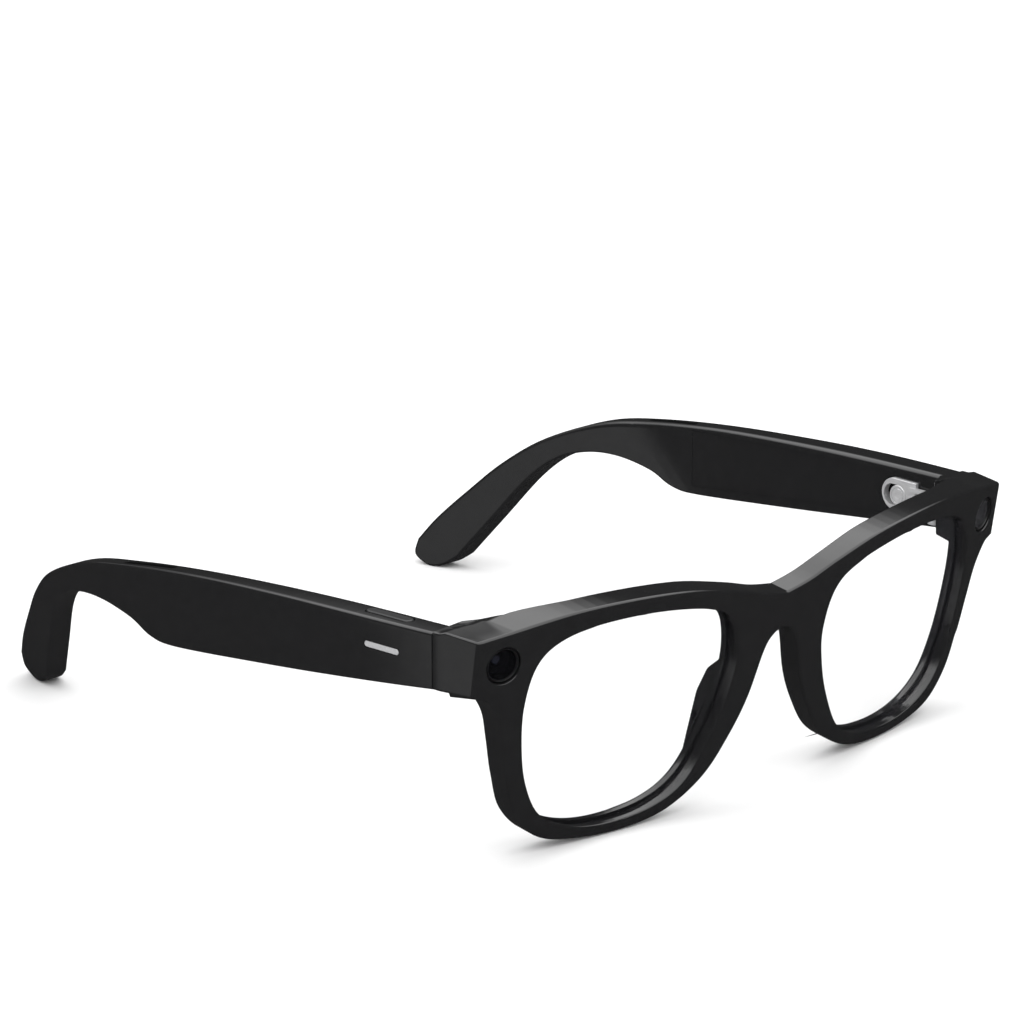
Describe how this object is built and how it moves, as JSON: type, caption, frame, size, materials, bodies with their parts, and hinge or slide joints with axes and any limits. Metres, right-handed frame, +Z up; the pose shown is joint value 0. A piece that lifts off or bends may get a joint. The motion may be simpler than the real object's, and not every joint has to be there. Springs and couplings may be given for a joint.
{
  "type": "smart glasses",
  "caption": "Smart glasses with clear lenses in a bowed plastic front, a camera and a light beside the lenses, and folding temples that hold the electronics.",
  "frame": {"origin": "middle of the object's bounding box on the ground, under the middle of the glasses", "axes": "+Z is up, the front faces -Y, the temples run to +Y, and +X is the wearer's left"},
  "size_m": [0.1472, 0.1536, 0.0468],
  "materials": {
    "gloss_black": "polished black nylon",
    "matt_black": "fine matt",
    "clear_lens": "clear, coated, faint violet edge",
    "dark_glass": "tinted",
    "window_glass": "clear",
    "steel": "satin",
    "gold_contact": "gold plated",
    "circuit_board": "solder mask",
    "battery_foil": "foil pouch"
  },
  "bodies": {
    "front": {"front_frame": "gloss_black", "left_lens": "clear_lens", "right_lens": "clear_lens", "left_nose_pad": "gloss_black", "right_nose_pad": "gloss_black", "front_cable": "gold_contact", "camera_bezel": "matt_black", "camera_window": "dark_glass", "camera_barrel": "matt_black", "camera_lens": "window_glass", "camera_board": "circuit_board", "light_bezel": "matt_black", "light_window": "window_glass", "light_dome": "window_glass", "light_board": "circuit_board", "nose_microphone": "steel", "contact_holder": "matt_black", "left_contact": "gold_contact", "right_contact": "gold_contact", "left_front_hinge": "steel", "right_front_hinge": "steel", "left_hinge_pin": "steel", "right_hinge_pin": "steel"},
    "right_temple": {"right_temple_shell": "gloss_black", "right_inner_cover": "matt_black", "right_temple_hinge": "steel", "right_hinge_screws": "steel", "right_badge": "steel", "right_speaker": "matt_black", "right_speaker_grille": "matt_black", "right_microphone": "steel", "right_battery": "battery_foil", "main_board": "circuit_board", "processor_shield": "steel", "touch_strip": "gold_contact", "button_switch": "steel"},
    "left_temple": {"left_temple_shell": "gloss_black", "left_inner_cover": "matt_black", "left_temple_hinge": "steel", "left_hinge_screws": "steel", "left_badge": "steel", "left_speaker": "matt_black", "left_speaker_grille": "matt_black", "left_microphone": "steel", "left_battery": "battery_foil", "switch_board": "circuit_board"},
    "button": {"capture_button": "gloss_black"},
    "switch": {"power_switch": "steel"}
  },
  "joints": [
    {"name": "left_fold", "type": "hinge", "parent": "front", "child": "left_temple", "pos_m": [0.0646, -0.05748, 0.0377], "axis": [0, 0, 1], "range_deg": [0, 87]},
    {"name": "right_fold", "type": "hinge", "parent": "front", "child": "right_temple", "pos_m": [-0.0646, -0.05748, 0.0377], "axis": [0, 0, 1], "range_deg": [-67, 0]},
    {"name": "capture_press", "type": "slide", "parent": "right_temple", "child": "button", "axis": [0, -0.0157, -0.9999], "range_m": [0, 0.0004], "stiffness_N_per_m": 1500, "springref_m": -0.0002},
    {"name": "power_slide", "type": "slide", "parent": "left_temple", "child": "switch", "axis": [0.038, 0.9993, 0], "range_m": [0, 0.0016]}
  ]
}
